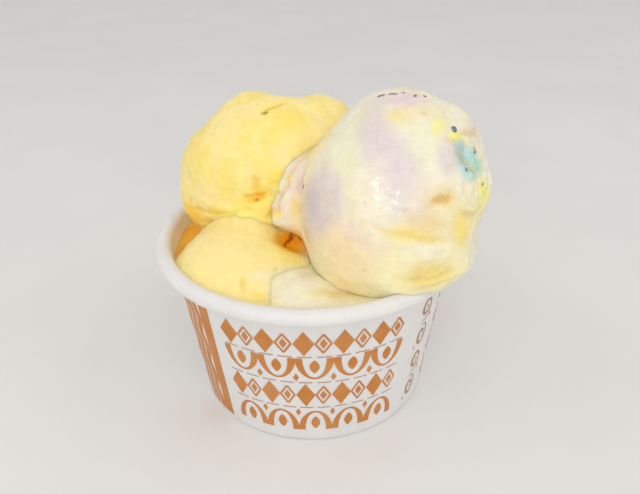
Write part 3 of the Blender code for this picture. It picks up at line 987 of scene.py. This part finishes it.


# Patches of colour: the colour's name, strength, centre, half width, half height, half depth, and then
# softness and turn in degrees where they aren't 0.7 and 0. Sizes are in mm. Some are painted shade,
# painted shadow or painted light, as marked.
PASTEL_PATCHES = (
    ("green cream", 0.6, 8, -24.5, 83, 5.5, 9, 9, 0.8),
    ("white", 0.8, 14, -35, 74, 4.6, 7, 8, 0.9),
    # The gelato's soft lemon, made paler here as painted light in the ball's shaded low front
    ("pale lemon", 0.9, 20, -35, 55, 20, 8, 16),
    ("peach", 0.8, 7.3, -33, 58.5, 6.6, 8.5, 9),
    # Painted light on the shaded lower left of the ball
    ("pale peach", 0.9, 6.6, -30.4, 50, 4.6, 3.8, 8, 0.8),
    ("peach", 0.6, 4.8, -32, 62.6, 3.2, 4, 8),
    ("pink", 0.5, 10.4, -35.8, 65, 5.2, 2, 7, 0.8, 40),
    ("peach", 0.45, 23.6, -35.7, 73, 3.4, 5, 7, 0.8),
    ("lilac", 0.62, 2.5, -27.2, 71, 4.6, 7.6, 9, 0.4),
    ("lilac", 0.5, -0.2, -25, 65.8, 3.6, 7.6, 9, 0.5),
    ("deep lilac", 0.5, -1.4, -24, 67, 2, 5.6, 8),
    ("pale lilac", 0.85, 13.7, -25.2, 86.6, 3.2, 7.4, 9, 0.7, 8),
    ("pale lilac", 0.8, 16.2, -28.8, 84.5, 3, 3.8, 8, 0.8, 20),
    ("pale lilac", 0.95, 19.4, -32.4, 80.4, 4.6, 5.8, 9, 0.8, 24),
    ("pale lilac", 0.45, 18.2, -35.8, 74, 2.6, 3.4, 7, 0.9),
    ("pale lilac", 0.45, 22.4, -36, 73, 4, 4.6, 7, 0.9),
    ("green cream", 0.7, 25.6, -27.6, 84.2, 3.6, 4.4, 8, 0.9),
    ("rose", 0.75, 20.9, -17.2, 91.2, 6.4, 2.4, 8, 0.6),
    ("peach", 0.55, 22.3, -21.4, 89.8, 3.8, 1.4, 6, 0.8),
    ("lemon", 0.5, 18.8, -22.9, 89.1, 1.8, 1.1, 5),
    ("honey", 0.6, 24.9, -36.9, 68.4, 4.8, 2.2, 7, 0.8),
    ("lemon", 0.75, 22.6, -37.6, 65.9, 6.2, 1.5, 7, 0.7, 9),
    ("lemon", 0.6, 25.4, -37.2, 65, 3, 0.8, 6, 0.7, 9),
    ("white", 0.65, 26.4, -37, 61.2, 6.4, 2.4, 7, 0.7, 8),
    ("lemon", 0.85, 27.4, -35.7, 54.6, 6.6, 3, 7, 0.7, -10),
    ("honey", 0.5, 24, -36.2, 56, 1.6, 3, 6, 0.8),
    ("pale lemon", 0.7, 33.4, -33.5, 59.1, 3.6, 4, 7, 0.8),
    ("lemon", 0.9, 34.3, -32.8, 65.4, 2.8, 4.6, 7, 0.6, -10),
    ("bright lemon", 0.4, 34.4, -32.8, 64.6, 1.4, 2.4, 6, 0.8),
    ("bright lemon", 0.95, 40.3, -24.4, 70.4, 2, 3, 6, 0.6),
    ("soft lemon", 0.7, 38, -28, 68, 3.2, 5, 7, 0.8, 20),
    ("bright lemon", 0.9, 33.1, -23.5, 84.1, 2, 1.2, 5, 0.6),
    ("bright lemon", 0.55, 28.5, -23.8, 86.9, 1.5, 1.9, 5, 0.8),
    ("honey", 0.7, 31.2, -25.6, 84, 1.4, 0.9, 5),
    ("aqua", 0.95, 36, -25.6, 78.6, 3.8, 3.7, 7, 0.5, -20),
    ("deep aqua", 0.8, 33.6, -25.5, 81.4, 1.7, 2.8, 6, 0.6),
    ("green", 0.7, 38.2, -24.4, 76.6, 1.8, 2.4, 6, 0.6),
    ("pale lilac", 0.8, 30.1, -28.8, 81.4, 2.4, 4.4, 6),
    ("pale lilac", 0.6, 38.5, -17, 83.4, 2.6, 3.2, 6, 0.8),
    # Painted shade in the groove on the ball's front right
    ("soft tan", 0.6, 28.6, -34.3, 73.2, 4, 2.4, 7, 0.8, -8),
    ("tan", 0.85, 29, -34, 73.4, 2.4, 0.9, 6, 0.7, -10),
    ("pink", 0.6, -4.2, -11.8, 70.4, 3.2, 5.6, 8, 0.6, 10),
    ("pink", 0.5, -7.4, -13.2, 61, 3.6, 4.4, 8),
    ("peach", 0.85, -4.6, -15.6, 61.4, 1.6, 7, 6),
    ("tan", 0.7, -0.8, -5, 74.6, 1.7, 2.8, 7, 0.7, 20),
    ("white", 0.8, -7.5, -12.7, 64.2, 1.7, 1.8, 5),
    ("white", 0.8, -8.9, -12.7, 56.4, 2.1, 1.5, 5),
    ("yellow", 0.85, -9.8, -12.6, 59.6, 1.5, 1.3, 4),
    ("lemon", 0.6, -5.2, -15.2, 62.3, 0.9, 2.2, 4),
    ("rose", 0.7, -3.5, -14.9, 68.5, 1.4, 2.2, 5),
    ("yellow", 0.6, -6.4, -11.4, 69.4, 1.1, 1.3, 4, 0.7, 20),
    # Painted shade: warm deep colour in the crevice under the fringe
    ("amber", 0.9, -5.5, -9.5, 50.6, 5.5, 2.6, 9, 0.5),
    ("lemon", 0.7, 8, 12, 66, 9, 7, 9),
    ("pale lilac", 0.7, 34, 9, 70, 8, 8, 9, 0.7, 30),
    ("peach", 0.7, 22, 13, 56, 11, 5, 8),
    ("aqua", 0.6, 26, 8, 83, 4, 4, 6, 0.6),
)
YELLOW_TOP_PATCHES = (
    # Painted shade round the deep groove and along the top of the crease below the scoop
    ("deep yellow", 0.6, -14, -10, 61.6, 5.6, 4.4, 6, 0.8),
    ("deep yellow", 0.8, -8.5, -9, 68.2, 3.2, 2.2, 5),
    # Painted shade: warm dark colour in the deep groove at the front, and along the groove above it
    ("amber", 0.85, -15, -10, 63.4, 2.6, 1.1, 5, 0.6, -10),
    ("orange", 0.8, -14.6, -10.2, 63.8, 1.6, 0.8, 4, 0.7, -15),
    ("brown", 0.75, -15.3, -10.4, 63, 0.7, 0.45, 4, 0.7, -20),
    ("olive", 0.6, -14.8, -9.2, 66.8, 1.3, 2.1, 5),
    # Painted shade in a small recess at the crease
    ("amber", 0.75, -10.8, -10.6, 59, 1.3, 1.6, 5),
    # Painted light that lifts the shade in the crease
    ("light yellow", 0.8, -21.6, -8.4, 58, 7, 1.8, 6, 0.8),
    # Painted shade in the crease under the scoop and in the shaded corner by the wall at the back left
    ("olive", 0.3, -26.9, -5.7, 57.2, 2.6, 0.8, 5, 0.8),
    ("olive", 0.45, -29, -0.6, 52.2, 2.4, 0.7, 5, 0.8),
    ("deep yellow", 0.6, -26.9, -5.8, 57.5, 2.2, 1.1, 5, 0.8),
    ("olive", 0.4, -31.9, -1.9, 55.6, 1.2, 2, 5, 0.8, 30),
    ("olive", 0.4, -34.2, -0.2, 57.3, 0.9, 1.8, 5, 0.8),
    ("amber", 0.85, -34.8, 2.6, 52.2, 3.6, 2.8, 8, 0.7, 20),
    ("deep yellow", 0.4, -30, -1, 71, 2, 4, 6, 0.9),
    ("deep yellow", 0.4, -6.5, 1.5, 80, 3.5, 3.5, 6, 0.9),
    # Painted shade in the crack near the top
    ("olive", 0.7, -10.6, 5, 82.3, 3, 0.4, 4, 0.8, -26),
    ("bark", 0.8, -13, 2.9, 81.6, 0.7, 0.45, 3, 0.8, -26),
)
YELLOW_LOW_PATCHES = (
    # Painted shade: warm saturated colour and dark streaks in the crevice where the three gelatos meet
    ("deep yellow", 0.7, -7, -14, 49.5, 7.6, 4.6, 8),
    ("amber", 0.95, -6.5, -11.5, 49.8, 5.2, 3.4, 8, 0.6),
    ("orange", 0.95, -6.8, -11, 50, 3.7, 2.2, 7, 0.6),
    ("brown", 0.85, -7.2, -11, 50.3, 2.4, 0.46, 6, 0.7, -42),
    ("brown", 0.8, -6.3, -8.8, 50.9, 0.5, 1.2, 6, 0.7, 14),
    ("brown", 0.8, -4, -9, 50.6, 0.5, 0.9, 6, 0.7, -25),
    ("deep yellow", 0.7, -4.2, -22.3, 49.2, 3.2, 2, 6, 0.8),
    # Painted shade in two small pits
    ("olive", 0.45, -17.9, -29.2, 48.5, 0.8, 2, 4, 0.8),
    ("olive", 0.55, -9.9, -25, 50.4, 0.6, 0.6, 4),
    ("white", 0.55, -13.8, -27.1, 50, 2.2, 1.1, 5, 0.8),
    ("lemon", 0.7, -11.2, -34.2, 46.6, 2, 1.6, 5, 0.8),
    ("deep yellow", 0.6, -13.1, -31.5, 46.7, 3, 1.2, 5, 0.8),
    # Painted shade: warm colour in the shaded gap between the gelato and the cup's wall at the left
    ("amber", 0.95, -36.8, 2, 44, 3.4, 6.6, 9, 0.4, 22),
    ("orange", 0.9, -36.6, 7.6, 44.2, 2.8, 3.4, 8, 0.6, 20),
    ("brown", 0.25, -37.6, -3.4, 44, 1.4, 3.4, 6, 0.8, 25),
)
PASTEL_LOW_PATCHES = (
    ("green cream", 0.2, -2, -31, 48, 7, 3, 9, 0.9),
    ("soft lemon", 0.4, 8, -32, 47, 9, 2, 9, 0.8),
    ("pink", 0.35, -1.4, -27.4, 49, 4, 1.6, 6, 0.8),
    # Painted shadow where the ball rests on the lower gelato
    ("olive", 0.4, 7, -30.9, 46.5, 8, 0.9, 5, 0.7, 4),
    ("pale lilac", 0.6, 26, 18, 42, 9, 5, 9),
    ("peach", 0.6, 12, 26, 41, 7, 5, 9),
)

# Base and second colour, the grooves' painted shade colour, the other flavour's colour where the two meet,
# roughness, coat, how strong the fine texture is, and patches
LOOKS = {
    "pastel_gelato": ("cream", "white", "tan", None, 0.36, 0.35, 0.6, PASTEL_PATCHES),
    "yellow_gelato": ("yellow", "pale yellow", "deep yellow", None, 0.5, 0.08, 1.25, YELLOW_TOP_PATCHES),
    "yellow_low": ("pale yellow", "pale yellow", None, "cream", 0.45, 0.12, 1.1, YELLOW_LOW_PATCHES),
    "pastel_low": ("pale cream", "white", None, "pale yellow", 0.36, 0.3, 0.6, PASTEL_LOW_PATCHES),
}


def build_cup():
    paper = paper_material()
    wall, disc = wall_object("paper_wall"), disc_object("paper_disc")
    wall.data.shade_smooth()
    smoothed(disc, 50.0)
    finished(wall, paper, "paper", "cup_wall")
    finished(disc, paper, "paper", "cup_base")
    fields, lines = ([], []), ([], [])
    for turn in (0.0, PRINT_REPEAT):
        print_repeat(fields, lines, turn)
    for name, ink, colour in (
        ("print_fields", fields, linear(194, 118, 30)),
        ("print_lines", lines, linear(168, 118, 84)),
    ):
        made = mesh_object(name, *ink)
        outward_faces(made)
        finished(made, ink_material(name, colour), "paper")


def build_gelato():
    inside, collar = inner_space(), cup_collar()
    tops, hollows, lows = [], [], []
    for name, scoop in (("pastel", PASTEL_SCOOP), ("yellow", YELLOW_SCOOP)):
        grid = scoop_grid(scoop)
        hollows.append(scoop_object(name + "_hollow", scoop, grid, TOUCH))
        tops.append(scoop_object(name + "_top", scoop, grid))
    carve(tops[0], (("DIFFERENCE", collar),))
    carve(tops[1], (("DIFFERENCE", collar), ("DIFFERENCE", hollows[0])))
    for name, side in (("yellow_low", -1.0), ("pastel_low", 1.0)):
        low = field_object(name, side)
        carve(low, (("INTERSECT", inside), ("DIFFERENCE", hollows[0]), ("DIFFERENCE", hollows[1])))
        note_meeting(low)
        lows.append(low)
    for tool in (inside, collar, *hollows):
        bpy.data.objects.remove(tool)
    note_hollow_shade(tops[0], PASTEL_SCOOP)
    note_hollow_shade(tops[1], YELLOW_SCOOP)
    for made in (*tops, *lows):
        smoothed(made, 55.0)
    for made, slot_name, node, look in (
        (tops[0], "pastel_gelato", "pastel_scoop", "pastel_gelato"),
        (tops[1], "yellow_gelato", "yellow_scoop", "yellow_gelato"),
        (lows[0], "yellow_gelato", "yellow_base", "yellow_low"),
        (lows[1], "pastel_gelato", "pastel_base", "pastel_low"),
    ):
        finished(made, gelato(look, *LOOKS[look]), slot_name, node)
    for hue, colour in SPRINKLE_COLOURS.items():
        made = sprinkle_object("sprinkles_" + hue, hue, PASTEL_SCOOP)
        finished(made, sprinkle_material("sprinkle_" + hue, linear(*colour)), "pastel_gelato")


def build_room():
    """A plain pale floor that runs out of the picture, soft light from above and the front, and pale air."""
    bm = bmesh.new()
    bmesh.ops.create_grid(bm, x_segments=8, y_segments=8, size=3.0)
    floor = bmesh_object("floor", bm)
    floor.location.z = -0.05 * MM
    finish, tree, shader = new_material("floor")
    colour = mixed(tree, eased(tree, cloud(tree, 60.0)), linear(228, 227, 225), linear(225, 224, 222))
    feed(tree, shader, Base_Color=colour, Roughness=0.6, Specular_IOR_Level=0.2)
    floor.data.materials.append(finish)

    world = bpy.data.worlds.new("air")
    bpy.context.scene.world = world
    world.use_nodes = True
    air = world.node_tree
    feed(air, air.nodes["Background"], Color=linear(238, 236, 234), Strength=0.86)

    aim = Vector((0.0, 0.0, 50.0 * MM))
    for name, around, up, away, wide, watts in (
        ("key", -98.0, 46.0, 0.75, 0.8, 1.04),
        ("front_fill", -78.0, 22.0, 0.75, 0.5, 0.45),
        ("right_window", -15.0, 40.0, 0.8, 0.7, 0.65),
        ("left_window", -172.0, 35.0, 0.8, 0.6, 0.4),
        ("near_lamp", -106.0, 25.0, 0.55, 0.05, 0.16),
        ("low_lamp", -92.0, 19.0, 0.55, 0.04, 0.12),
    ):
        lamp = bpy.data.lights.new(name, "AREA")
        lamp.shape = "DISK"
        lamp.size = wide
        lamp.energy = watts
        toward = Vector(unit(around, up))
        aimed(name, lamp, aim + toward * away, toward.to_track_quat("Z", "Y"))


def build_camera():
    camera = bpy.data.cameras.new("camera")
    camera.sensor_width = 36.0
    camera.lens = camera.sensor_width * FOCAL_PIXELS / IMAGE_WIDTH
    camera.clip_start = 0.01
    roll = Euler((0.0, 0.0, radians(CAMERA_ROLL))).to_quaternion()
    facing = AWAY.to_track_quat("-Z", "Y") @ roll
    bpy.context.scene.camera = aimed("camera", camera, AIM - AWAY * CAMERA_AWAY, facing)


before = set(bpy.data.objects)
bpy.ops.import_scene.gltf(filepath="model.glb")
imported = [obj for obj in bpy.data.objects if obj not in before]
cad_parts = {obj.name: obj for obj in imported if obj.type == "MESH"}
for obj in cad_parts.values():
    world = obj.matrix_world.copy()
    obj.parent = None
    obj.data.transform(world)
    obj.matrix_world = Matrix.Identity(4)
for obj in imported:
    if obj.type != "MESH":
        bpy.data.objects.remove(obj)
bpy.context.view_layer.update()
build_cup()
build_gelato()
build_room()
build_camera()
bpy.context.scene.view_settings.view_transform = "Standard"
